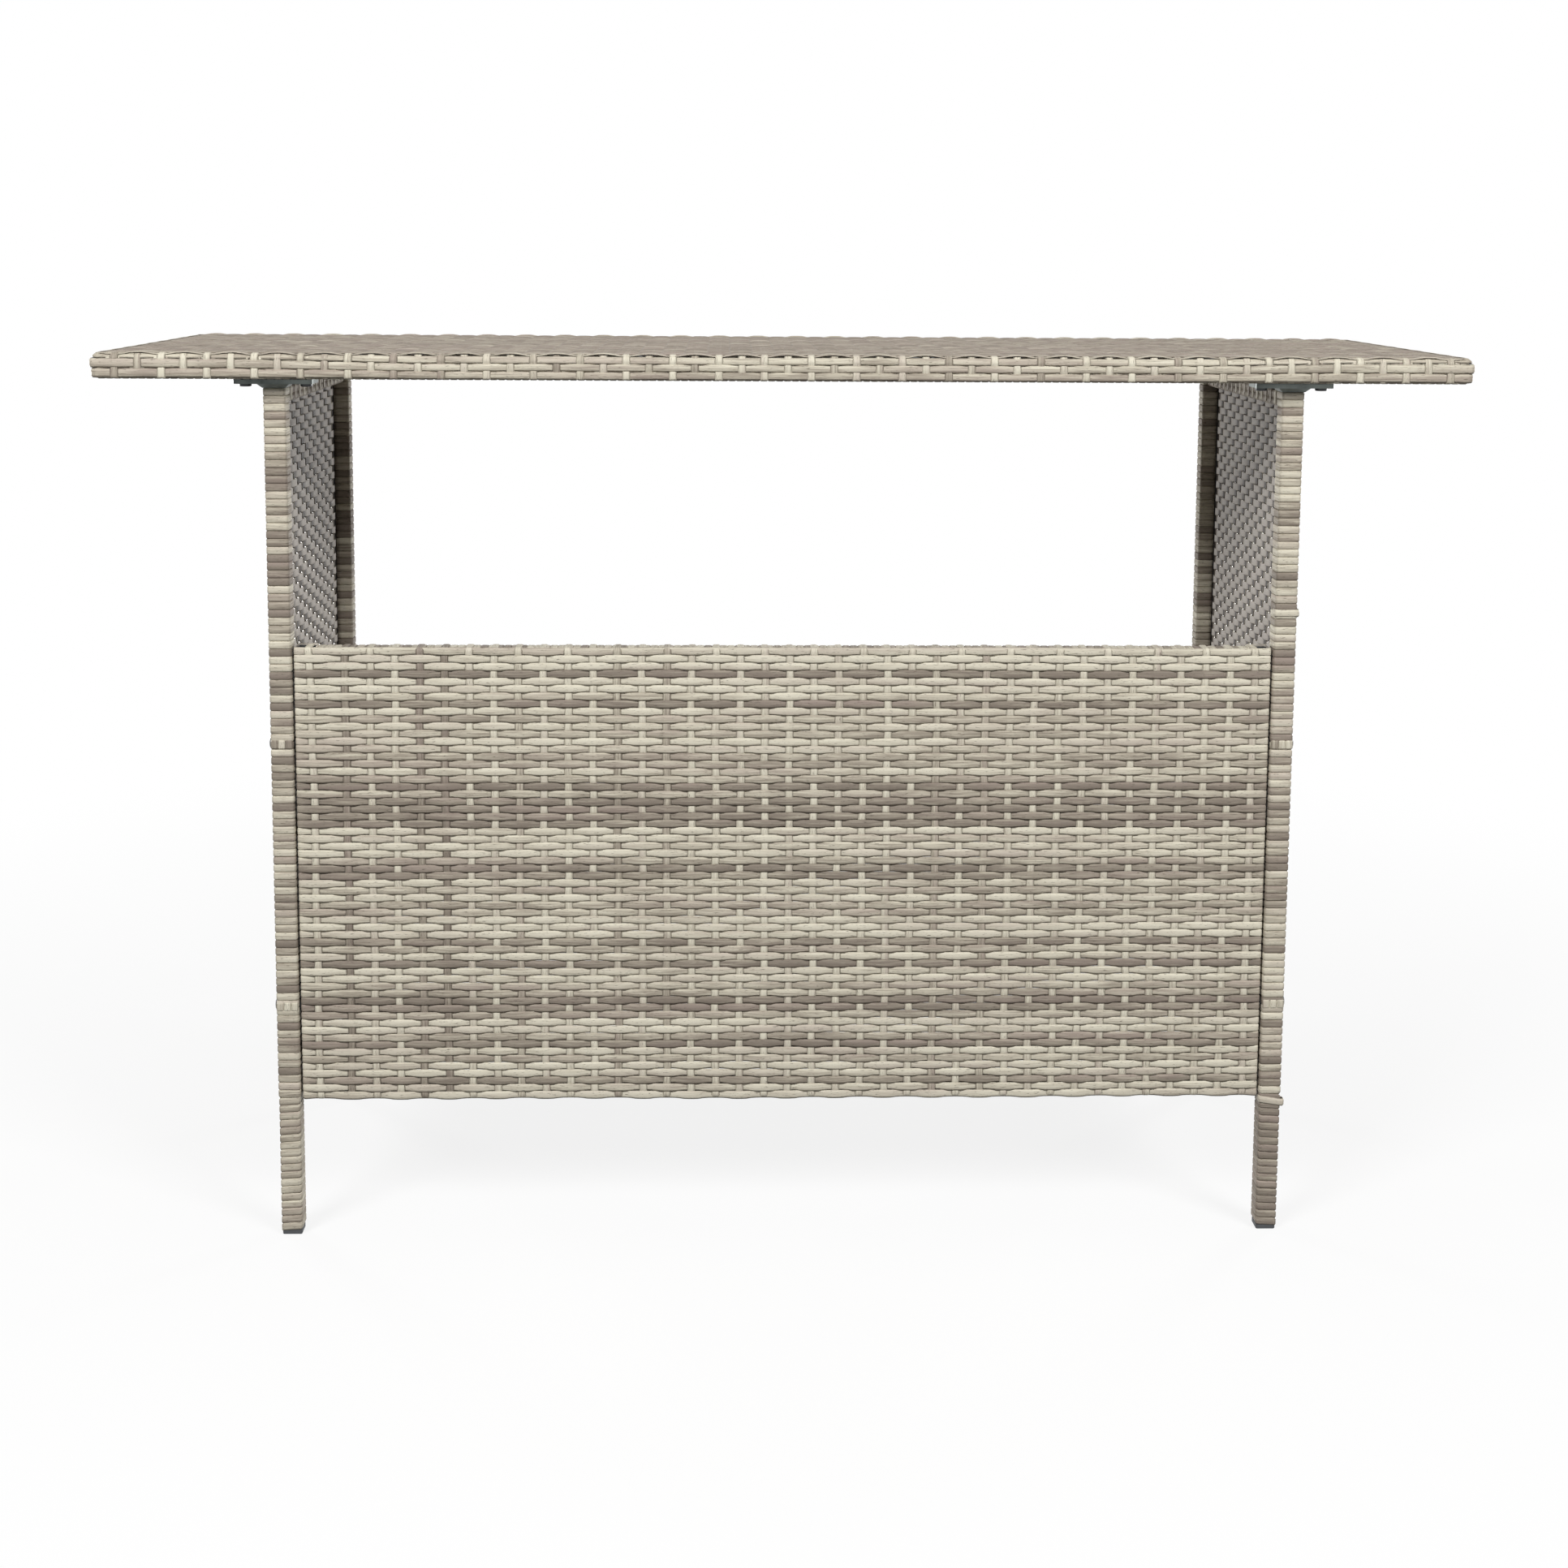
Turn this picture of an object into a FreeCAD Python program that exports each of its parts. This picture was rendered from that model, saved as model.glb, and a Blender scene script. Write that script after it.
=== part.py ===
import FreeCAD, Part
import os
from FreeCAD import Vector

# A wicker bar table: a woven top on a steel rim, two woven side frames with wound legs,
# a woven front panel bolted between the front legs, and two wire shelves behind it.
# Frame: +Z up, +X along the table, the woven front panel faces -Y, and the origin lies on the
# floor below the middle of the top. All sizes are in millimetres.

# Overall sizes
table_length = 1400.0
table_depth = 470.0
table_height = 940.0
end_overhang = 167.0
front_overhang = 29.5

# Steel tube and plastic strip
tube_size = 20.0
tube_wall = 1.2
tube_corner = 2.0
winding = 1.7
winding_corner = 3.0
weave = 4.0

# Woven top
edge_rows = 2.1
top_corner = 10.0
top_edge_round = 2.5
middle_bar_spread = 326.0

# Side frames
side_rail_bottom = 149.0
side_rail_size = 15.0
side_sheet_inset = 3.0
foot_height = 5.0
foot_overlap = 0.3
foot_round = 2.0
foot_plug = 15.0
foot_clearance = 0.1

# Leg-head plates
plate_length = 81.0
plate_width = 40.0
plate_thickness = 4.5
plate_corner = 6.0
plate_gap = 1.7
plate_hole_inset = 9.5
collar_height = 4.3
collar_flare = 4.8

# Front panel
panel_gap = 2.0
panel_bottom = 149.3
panel_height = 485.2
panel_bolt_inset = 102.0

# Shelves
lower_shelf_rise = 45.0
upper_shelf_drop = 200.0
shelf_end_plate = 3.0
shelf_rod = 6.0
shelf_rod_count = 5
shelf_rod_inset = 12.0
shelf_wire = 4.0
shelf_wire_sink = 0.8
shelf_wire_count = 13

# Fasteners
bolt_diameter = 6.0
bolt_clearance = 0.25
bolt_head_diameter = 12.5
bolt_head_height = 3.6
bolt_head_round = 1.4
head_clearance = 1.2
frame_bolt_length = 40.0
plate_bolt_length = 24.0
nut_diameter = 9.0
nut_length = 12.0
nut_clearance = 0.05
spacer_diameter = 12.0
spacer_clearance = 0.2

# Heights that follow from the sizes above
sheet_underside = table_height - weave
rim_top = sheet_underside - winding
rim_bottom = rim_top - tube_size
top_underside = rim_bottom - winding
bar_bottom = sheet_underside - tube_size
plate_top = top_underside - plate_gap
plate_bottom = plate_top - plate_thickness
wound_top = plate_bottom - collar_height
wound_tube = tube_size + 2 * winding
panel_top = panel_bottom + panel_height
wound_rail = side_rail_size + 2 * winding
top_rail_bottom = wound_top - wound_rail

# Places across the table
half_length = table_length / 2
half_depth = table_depth / 2
rim_inset = winding + edge_rows
rim_end = half_length - rim_inset
rim_front = half_depth - rim_inset
rim_end_inner = rim_end - tube_size
rim_front_inner = rim_front - tube_size
wound_outer = half_length - end_overhang
wound_inner = wound_outer - wound_tube
leg_outer = wound_outer - winding
leg_inner = leg_outer - tube_size
leg_x = leg_outer - tube_size / 2
rail_inner = leg_outer - side_rail_size
wound_front = half_depth - front_overhang
wound_back = wound_front - wound_tube
leg_front = wound_front - winding
leg_back = leg_front - tube_size
leg_y = leg_front - tube_size / 2
plate_hole_x = plate_length / 2 - plate_hole_inset
bar_places = [side * (leg_x + offset) for side in (-1, 1) for offset in (-plate_hole_x, plate_hole_x)]
bar_places = sorted(bar_places + [-middle_bar_spread / 2, middle_bar_spread / 2])

# Front panel and shelf places
panel_wound_end = wound_inner - panel_gap
stile_outer = panel_wound_end - winding
stile_inner = stile_outer - tube_size
stile_x = stile_outer - tube_size / 2
panel_tube_front = -wound_front + weave
panel_tube_back = panel_tube_front + tube_size
panel_wound_back = panel_tube_back + winding
stile_bottom = panel_bottom + winding
stile_top = panel_top - winding
shelf_bar_heights = {"lower": panel_bottom + lower_shelf_rise, "upper": panel_top - upper_shelf_drop}
panel_bolt_heights = [panel_bottom + panel_bolt_inset, panel_top - panel_bolt_inset]
shelf_front_bar = panel_wound_back + tube_size / 2
spacer_length = leg_inner - stile_outer
hole_radius = bolt_diameter / 2 + bolt_clearance
nut_hole_radius = nut_diameter / 2 + nut_clearance
spacer_hole_radius = spacer_diameter / 2 + spacer_clearance
head_hole_radius = bolt_head_diameter / 2 + head_clearance
through = 1.0
along_tolerance = 0.01

axis_x = Vector(1, 0, 0)
axis_y = Vector(0, 1, 0)
axis_z = Vector(0, 0, 1)


def block(x0, x1, y0, y1, z0, z1):
    """A box between two corners."""
    return Part.makeBox(x1 - x0, y1 - y0, z1 - z0, Vector(x0, y0, z0))


def edges_along(solid, axis):
    """The edges of a box that run along one axis."""
    return [edge for edge in solid.Edges
            if edge.tangentAt(edge.FirstParameter).cross(axis).Length < along_tolerance]


def round_long_edges(solid, axis, radius):
    """Round the edges of a box that run along one axis."""
    return solid.makeFillet(radius, edges_along(solid, axis))


def rod(start, axis, length, radius):
    """A round bar from a start point along an axis."""
    return Part.makeCylinder(radius, length, start, axis)


def bore(centre, axis, depth, radius):
    """A round cutter that runs the same way to both sides of a point."""
    return rod(centre - axis * depth, axis, 2 * depth, radius)


def square_bar(axis, start, end, across, up, half):
    """A square bar from start to end along an axis, about a centre line."""
    if axis == axis_x:
        return block(start, end, across - half, across + half, up - half, up + half)
    if axis == axis_y:
        return block(across - half, across + half, start, end, up - half, up + half)
    return block(across - half, across + half, up - half, up + half, start, end)


def square_tube(axis, start, end, across, up, size=tube_size):
    """A hollow square tube from start to end along an axis, about a centre line."""
    half = size / 2
    outer = square_bar(axis, start, end, across, up, half)
    hollow = square_bar(axis, start - through, end + through, across, up, half - tube_wall)
    return round_long_edges(outer, axis, tube_corner).cut(hollow)


def mirror_x(solid):
    """The same piece on the other end of the table."""
    return solid.mirror(Vector(0, 0, 0), axis_x)


def mirror_y(solid):
    """The same piece on the other long side of the table."""
    return solid.mirror(Vector(0, 0, 0), axis_y)


def turned(solid, axis, place):
    """A fastener drawn along +Z, turned to point along an axis from its seat."""
    copy = solid.copy()
    copy.Placement = FreeCAD.Placement(place, FreeCAD.Rotation(axis_z, axis))
    return copy


def bolt(length):
    """A low round-headed bolt with its seat at the origin and its shank along +Z."""
    head = rod(Vector(0, 0, -bolt_head_height), axis_z, bolt_head_height, bolt_head_diameter / 2)
    rims = [edge for edge in head.Edges if edge.Closed and edge.BoundBox.ZMax < -bolt_head_height / 2]
    head = head.makeFillet(bolt_head_round, rims)
    return head.fuse(rod(Vector(0, 0, 0), axis_z, length, bolt_diameter / 2)).removeSplitter()


def ring(outer_radius, length):
    """A sleeve round a bolt, along +Z from the origin."""
    sleeve = rod(Vector(0, 0, 0), axis_z, length, outer_radius)
    return sleeve.cut(bore(Vector(0, 0, 0), axis_z, 2 * length, hole_radius))


def top_pieces():
    """The woven top: sheet, rim tubes, cross bars and the weave wound round the rim."""
    rim_z = rim_bottom + tube_size / 2
    bar_z = bar_bottom + tube_size / 2
    sheet = block(-half_length, half_length, -half_depth, half_depth, sheet_underside, table_height)
    sheet = round_long_edges(sheet, axis_z, top_corner)
    upper_rim = [edge for edge in sheet.Edges if edge.BoundBox.ZMin > table_height - weave / 2]
    sheet = sheet.makeFillet(top_edge_round, upper_rim)
    pieces = {"top_sheet": sheet}

    pieces["top_rim_front"] = square_tube(axis_x, -rim_end, rim_end, -rim_front + tube_size / 2, rim_z)
    pieces["top_rim_rear"] = mirror_y(pieces["top_rim_front"])
    pieces["top_rim_right"] = square_tube(
        axis_y, -rim_front_inner, rim_front_inner, rim_end - tube_size / 2, rim_z)
    pieces["top_rim_left"] = mirror_x(pieces["top_rim_right"])

    bar_spaces = []
    for number, place in enumerate(bar_places, start=1):
        bar = square_tube(axis_y, -rim_front_inner, rim_front_inner, place, bar_z)
        bar_spaces.append(square_bar(axis_y, -rim_front_inner, rim_front_inner, place, bar_z, tube_size / 2))
        if abs(place) > middle_bar_spread / 2 + tube_size:
            for hole_y in (-leg_y, leg_y):
                hole_place = Vector(place, hole_y, bar_bottom)
                bar = bar.cut(bore(hole_place, axis_z, tube_size / 2, nut_hole_radius))
        pieces["top_bar_%d" % number] = bar

    long_space = block(-rim_end, rim_end, -rim_front, -rim_front_inner, rim_bottom, rim_top)
    end_space = block(rim_end_inner, rim_end, -rim_front_inner, rim_front_inner, rim_bottom, rim_top)
    edge_back = rim_front_inner - winding
    edge_inner = rim_end_inner - winding
    front = block(-half_length, half_length, -half_depth, -edge_back, top_underside, sheet_underside)
    outer_corners = [edge for edge in edges_along(front, axis_z)
                     if edge.BoundBox.YMax < -edge_back - tube_size / 2]
    front = front.makeFillet(top_corner, outer_corners)
    for space in [long_space, end_space, mirror_x(end_space)] + bar_spaces:
        front = front.cut(space)
    right = block(edge_inner, half_length, -edge_back, edge_back, top_underside, sheet_underside)
    right = right.cut(end_space)
    pieces["top_edge_front"] = front
    pieces["top_edge_rear"] = mirror_y(front)
    pieces["top_edge_right"] = right
    pieces["top_edge_left"] = mirror_x(right)
    return pieces


def leg_plate():
    """The steel plate on a leg's head, with its tapered collar, for the right front leg."""
    plate = block(leg_x - plate_length / 2, leg_x + plate_length / 2,
                  -leg_y - plate_width / 2, -leg_y + plate_width / 2, plate_bottom, plate_top)
    plate = round_long_edges(plate, axis_z, plate_corner)
    for offset in (-plate_hole_x, plate_hole_x):
        hole_place = Vector(leg_x + offset, -leg_y, plate_top)
        plate = plate.cut(bore(hole_place, axis_z, 2 * plate_thickness, hole_radius))

    outlines = []
    for half, height in ((wound_tube / 2, wound_top), (wound_tube / 2 + collar_flare, plate_bottom)):
        corners = [Vector(leg_x + sx * half, -leg_y + sy * half, height)
                   for sx, sy in ((-1, -1), (1, -1), (1, 1), (-1, 1), (-1, -1))]
        outlines.append(Part.makePolygon(corners))
    collar = Part.makeLoft(outlines, True, True)
    leg_space = block(leg_inner, leg_outer, -leg_front, -leg_back, wound_top, plate_bottom)
    return plate.fuse(collar.cut(leg_space)).removeSplitter()


def foot_cap():
    """The plastic foot pressed into the right front leg."""
    half = tube_size / 2 + foot_overlap
    head = block(leg_x - half, leg_x + half, -leg_y - half, -leg_y + half, 0, foot_height)
    head = round_long_edges(head, axis_z, foot_round)
    lower_rim = [edge for edge in head.Edges if edge.BoundBox.ZMax < foot_height / 2]
    head = head.makeFillet(foot_round / 2, lower_rim)
    plug = tube_size / 2 - tube_wall - foot_clearance
    return head.fuse(block(leg_x - plug, leg_x + plug, -leg_y - plug, -leg_y + plug, foot_height,
                           foot_height + foot_plug))


def leg_and_winding(bolt_heights):
    """The right front leg with bolt holes across it, and the strip wound round it."""
    leg = square_tube(axis_z, foot_height, plate_bottom, leg_x, -leg_y)
    wound = block(wound_inner, wound_outer, -wound_front, -wound_back, foot_height, wound_top)
    wound = round_long_edges(wound, axis_z, winding_corner)
    leg_space = block(leg_inner, leg_outer, -leg_front, -leg_back, foot_height, wound_top)
    wound = wound.cut(leg_space)
    for rail_bottom in (side_rail_bottom + winding, top_rail_bottom + winding):
        rail_top = rail_bottom + side_rail_size
        wound = wound.cut(block(rail_inner, leg_outer, -leg_back, leg_back, rail_bottom, rail_top))
    for height in bolt_heights:
        crossing = Vector(leg_x, -leg_y, height)
        leg = leg.cut(bore(crossing, axis_x, tube_size, hole_radius))
        wound = wound.cut(rod(crossing, axis_x, tube_size, head_hole_radius))
        wound = wound.cut(rod(crossing, -axis_x, tube_size, spacer_hole_radius))
    return leg, wound


def side_pieces():
    """The right side frame: legs, rails, windings, woven sheet, plates and feet."""
    front_leg, front_winding = leg_and_winding(panel_bolt_heights)
    rear_leg, rear_winding = leg_and_winding(list(shelf_bar_heights.values()))
    plate = leg_plate()
    foot = foot_cap()
    pieces = {
        "front_leg": front_leg,
        "rear_leg": mirror_y(rear_leg),
        "front_leg_winding": front_winding,
        "rear_leg_winding": mirror_y(rear_winding),
        "front_plate": plate,
        "rear_plate": mirror_y(plate),
        "front_foot": foot,
        "rear_foot": mirror_y(foot),
    }
    for name, wound_bottom in (("bottom_rail", side_rail_bottom), ("top_rail", top_rail_bottom)):
        rail_x = rail_inner + side_rail_size / 2
        rail_z = wound_bottom + winding + side_rail_size / 2
        pieces[name] = square_tube(axis_y, -leg_back, leg_back, rail_x, rail_z, side_rail_size)
        wound = square_bar(axis_y, -wound_back, wound_back, rail_x, rail_z, wound_rail / 2)
        wound = round_long_edges(wound, axis_y, winding_corner)
        tube_space = square_bar(axis_y, -leg_back, leg_back, rail_x, rail_z, side_rail_size / 2)
        pieces[name + "_winding"] = wound.cut(tube_space)
    sheet_outer = wound_outer - side_sheet_inset
    pieces["sheet"] = block(sheet_outer - weave, sheet_outer, -wound_back, wound_back,
                            side_rail_bottom + wound_rail, top_rail_bottom)
    return pieces


def panel_pieces():
    """The front panel: a tube frame, the strip wound round it and the woven sheet on its face."""
    tube_y = panel_tube_front + tube_size / 2
    rail_heights = {"bottom": stile_bottom + tube_size / 2, "top": stile_top - tube_size / 2}
    stile = square_tube(axis_z, stile_bottom, stile_top, stile_x, tube_y)
    stile_space = block(stile_inner, stile_outer, panel_tube_front, panel_tube_back, stile_bottom, stile_top)
    stile_wound = block(stile_inner - winding, panel_wound_end, panel_tube_front, panel_wound_back,
                        panel_bottom, panel_top).cut(stile_space)
    for height in panel_bolt_heights:
        crossing = Vector(stile_x, -leg_y, height)
        stile = stile.cut(rod(crossing, axis_x, tube_size, nut_hole_radius))
        stile_wound = stile_wound.cut(rod(crossing, axis_x, tube_size, spacer_hole_radius))
    for height in shelf_bar_heights.values():
        nut_hole = rod(Vector(stile_x, tube_y, height), axis_y, tube_size, nut_hole_radius)
        stile = stile.cut(nut_hole)
        stile_wound = stile_wound.cut(nut_hole)

    pieces = {}
    half = tube_size / 2
    for name, height in rail_heights.items():
        pieces["panel_%s_rail" % name] = square_tube(axis_x, -stile_inner, stile_inner, tube_y, height)
        rail_space = square_bar(axis_x, -stile_inner, stile_inner, tube_y, height, half)
        wound_end = stile_inner - winding
        wound = block(-wound_end, wound_end, panel_tube_front, panel_wound_back,
                      height - half - winding, height + half + winding).cut(rail_space)
        stile_wound = stile_wound.cut(rail_space)
        pieces["panel_%s_winding" % name] = wound

    middle_bottom = rail_heights["bottom"] + half
    middle_top = rail_heights["top"] - half
    pieces["panel_middle_stile"] = square_tube(axis_z, middle_bottom, middle_top, 0, tube_y)
    middle_space = square_bar(axis_z, middle_bottom - winding, middle_top + winding, 0, tube_y, half)
    for name in rail_heights:
        pieces["panel_%s_winding" % name] = pieces["panel_%s_winding" % name].cut(middle_space)

    pieces["panel_right_stile"] = stile
    pieces["panel_left_stile"] = mirror_x(stile)
    pieces["panel_right_winding"] = stile_wound
    pieces["panel_left_winding"] = mirror_x(stile_wound)
    sheet = block(-panel_wound_end, panel_wound_end, -wound_front, panel_tube_front, panel_bottom, panel_top)
    pieces["panel_sheet"] = round_long_edges(sheet, axis_y, winding_corner)
    return pieces


def shelf(bar_z):
    """One welded wire shelf: two tubes, cross rods between them and long wires on the rods."""
    front_bar = square_tube(axis_x, -panel_wound_end, panel_wound_end, shelf_front_bar, bar_z)
    rear_bar = square_tube(axis_x, -stile_outer, stile_outer, leg_y, bar_z)
    for side in (-1, 1):
        bolt_place = Vector(side * stile_x, shelf_front_bar, bar_z)
        front_bar = front_bar.cut(bore(bolt_place, axis_y, tube_size, hole_radius))
        half = tube_size / 2 - tube_wall / 2
        face = side * stile_outer
        inner_face = face - side * shelf_end_plate
        end_plate = block(min(face, inner_face), max(face, inner_face),
                          leg_y - half, leg_y + half, bar_z - half, bar_z + half)
        rear_bar = rear_bar.fuse(end_plate)
        rear_bar = rear_bar.cut(bore(Vector(face, leg_y, bar_z), axis_x, tube_size, nut_hole_radius))

    front_face = shelf_front_bar + tube_size / 2
    rear_face = leg_y - tube_size / 2
    wire_z = bar_z + tube_size / 2 - shelf_wire / 2
    rod_z = wire_z - shelf_wire / 2 + shelf_wire_sink - shelf_rod / 2
    rod_end = stile_inner - shelf_rod_inset
    rod_step = 2 * rod_end / (shelf_rod_count - 1)
    span = rear_face - front_face
    cross_rods = [
        rod(Vector(-rod_end + rod_step * number, front_face, rod_z), axis_y, span, shelf_rod / 2)
        for number in range(shelf_rod_count)]

    wire_step = span / (shelf_wire_count + 1)
    wire_end = rod_end + shelf_rod_inset / 2
    wires = [
        rod(Vector(-wire_end, front_face + wire_step * number, wire_z), axis_x, 2 * wire_end, shelf_wire / 2)
        for number in range(1, shelf_wire_count + 1)]
    return front_bar.multiFuse([rear_bar] + cross_rods + wires)


def fastener_pieces():
    """Bolts, spacers and rivet nuts, each kind as one group of separate solids."""
    kinds = ["plate_bolts", "plate_spacers", "frame_bolts", "frame_spacers", "rivet_nuts"]
    groups = {kind: [] for kind in kinds}
    plate_bolt = bolt(plate_bolt_length)
    frame_bolt = bolt(frame_bolt_length)
    nut = ring(nut_diameter / 2, nut_length)
    plate_spacer = ring(spacer_diameter / 2, bar_bottom - plate_top)
    frame_spacer = ring(spacer_diameter / 2, spacer_length)
    for side in (-1, 1):
        inward = axis_x * -side
        for y in (-leg_y, leg_y):
            for offset in (-plate_hole_x, plate_hole_x):
                x = side * leg_x + offset
                groups["plate_bolts"].append(turned(plate_bolt, axis_z, Vector(x, y, plate_bottom)))
                groups["plate_spacers"].append(turned(plate_spacer, axis_z, Vector(x, y, plate_top)))
                groups["rivet_nuts"].append(turned(nut, axis_z, Vector(x, y, bar_bottom)))
        crossings = [(-leg_y, height) for height in panel_bolt_heights]
        crossings += [(leg_y, height) for height in shelf_bar_heights.values()]
        for y, height in crossings:
            groups["frame_bolts"].append(turned(frame_bolt, inward, Vector(side * leg_outer, y, height)))
            groups["frame_spacers"].append(turned(frame_spacer, inward, Vector(side * leg_inner, y, height)))
            groups["rivet_nuts"].append(turned(nut, inward, Vector(side * stile_outer, y, height)))
        for height in shelf_bar_heights.values():
            seat = Vector(side * stile_x, shelf_front_bar + tube_size / 2, height)
            groups["frame_bolts"].append(turned(frame_bolt, -axis_y, seat))
            nut_place = Vector(side * stile_x, panel_tube_back, height)
            groups["rivet_nuts"].append(turned(nut, -axis_y, nut_place))
    return {name: Part.makeCompound(solids) for name, solids in groups.items()}


def all_pieces():
    """Every piece of the table by its name."""
    pieces = top_pieces()
    for name, solid in side_pieces().items():
        pieces["right_" + name] = solid
        pieces["left_" + name] = mirror_x(solid)
    pieces.update(panel_pieces())
    for level, bar_z in shelf_bar_heights.items():
        pieces[level + "_shelf"] = shelf(bar_z)
    pieces.update(fastener_pieces())
    return pieces


os.makedirs("parts", exist_ok=True)
for piece_name, piece in all_pieces().items():
    piece.exportStep("parts/%s.step" % piece_name)
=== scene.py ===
import math

import bpy
import numpy as np
from mathutils import Matrix, Vector


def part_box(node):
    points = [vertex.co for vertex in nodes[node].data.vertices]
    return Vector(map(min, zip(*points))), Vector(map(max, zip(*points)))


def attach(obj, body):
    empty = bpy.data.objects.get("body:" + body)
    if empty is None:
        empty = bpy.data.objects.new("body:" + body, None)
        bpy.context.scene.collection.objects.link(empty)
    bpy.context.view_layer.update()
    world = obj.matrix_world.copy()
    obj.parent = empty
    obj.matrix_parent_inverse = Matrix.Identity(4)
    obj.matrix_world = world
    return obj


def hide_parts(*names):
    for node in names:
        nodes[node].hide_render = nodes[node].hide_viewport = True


# A wicker bar table. The steel, feet, bolts and spacers keep their CAD meshes. Every woven sheet and
# wound sleeve is replaced by its flat plastic strips, woven over and under each other.
# Lengths of the weave are in millimetres, and become metres where a mesh is made. The materials, the
# floor and the lamps are in metres.

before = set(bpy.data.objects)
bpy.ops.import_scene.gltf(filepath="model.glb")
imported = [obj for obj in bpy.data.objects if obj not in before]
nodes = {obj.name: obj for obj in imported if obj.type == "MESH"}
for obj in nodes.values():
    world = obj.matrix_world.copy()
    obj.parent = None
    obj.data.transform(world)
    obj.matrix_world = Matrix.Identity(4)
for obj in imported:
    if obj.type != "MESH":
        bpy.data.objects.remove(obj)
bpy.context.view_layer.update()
random_start = 11
chance = np.random.default_rng(random_start)
millimetre = 0.001


# Places taken from the CAD nodes

def node_box(name):
    """Lowest and highest corner of a CAD node in millimetres."""
    low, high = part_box(name)
    return np.array(low) / millimetre, np.array(high) / millimetre


top_high = node_box("top_sheet")[1]
edge_low, edge_high = node_box("top_edge_front")
end_edge_low = node_box("top_edge_right")[0]
panel_low, panel_high = node_box("panel_sheet")
stile_low, stile_high = node_box("panel_right_winding")
leg_low, leg_high = node_box("right_front_leg_winding")
sheet_high = node_box("right_sheet")[1]
low_rail_low, low_rail_high = node_box("right_bottom_rail_winding")
high_rail_low, high_rail_high = node_box("right_top_rail_winding")


# One strip: its width, and its cross-section as shares of half the width and heights off its middle

strip_width = 8.0
strip_girth = 2 * strip_width
half_thickness = 0.55
section_across = np.array([-1.0, -0.58, 0.58, 1.0, 0.82, -0.82])
section_height = np.array([-0.38, 0.52, 0.52, -0.38, -0.55, -0.55])
section_back = np.array([0.0, 0.0, 0.0, 0.0, 1.0, 1.0])            # 1 at the corners of its back
section_rows = np.array([0.0, 0.14, 0.54, 0.68, 0.74, 0.94, 1.0])  # the corners' rows in a texture cell
section_size = len(section_across)
row_margin = 0.04
seed_range = 1000


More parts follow.
